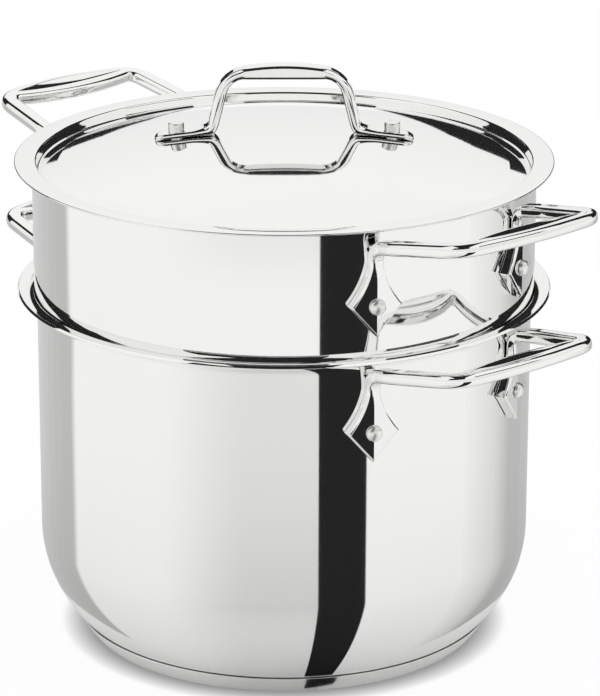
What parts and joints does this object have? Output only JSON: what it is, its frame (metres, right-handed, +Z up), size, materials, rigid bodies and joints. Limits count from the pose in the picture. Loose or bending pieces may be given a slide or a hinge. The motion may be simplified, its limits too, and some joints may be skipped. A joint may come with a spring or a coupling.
{
  "type": "pasta pot",
  "caption": "Polished steel pasta pot with a flared rim and clad base, a strainer insert that nests in it, a domed lid with an arched strap handle, and riveted loop handles with diamond feet.",
  "frame": {"origin": "centre of the base's flat underside", "axes": "+Z up along the pot's axis, X through both pairs of loop handles, Y across them"},
  "size_m": [0.3298, 0.2402, 0.2619],
  "materials": {
    "polished_sheet": "mirror-polished stainless sheet with a faint drawn grain",
    "cast_handle": "cast stainless, mirror-polished, with softened edges",
    "base_steel": "polished side, satin turned underside",
    "base_aluminium": "plain disc, hidden between floor and cap"
  },
  "bodies": {
    "pot": {"pot_body": "polished_sheet", "base_core": "base_aluminium", "base_cap": "base_steel", "pot_handle_right": "cast_handle", "pot_handle_left": "cast_handle", "pot_rivet_1": "cast_handle", "pot_rivet_2": "cast_handle", "pot_rivet_3": "cast_handle", "pot_rivet_4": "cast_handle"},
    "insert": {"insert_basket": "polished_sheet", "insert_handle_right": "cast_handle", "insert_handle_left": "cast_handle", "insert_rivet_1": "cast_handle", "insert_rivet_2": "cast_handle", "insert_rivet_3": "cast_handle", "insert_rivet_4": "cast_handle"},
    "lid": {"lid_shell": "polished_sheet", "lid_handle": "cast_handle", "lid_rivet_1": "cast_handle", "lid_rivet_2": "cast_handle"}
  },
  "joints": [
    {"name": "insert_lift", "type": "slide", "parent": "pot", "child": "insert", "axis": [0, 0, 1], "range_m": [0, 0.15]},
    {"name": "lid_lift", "type": "slide", "parent": "insert", "child": "lid", "axis": [0, 0, 1], "range_m": [0, 0.1]}
  ]
}
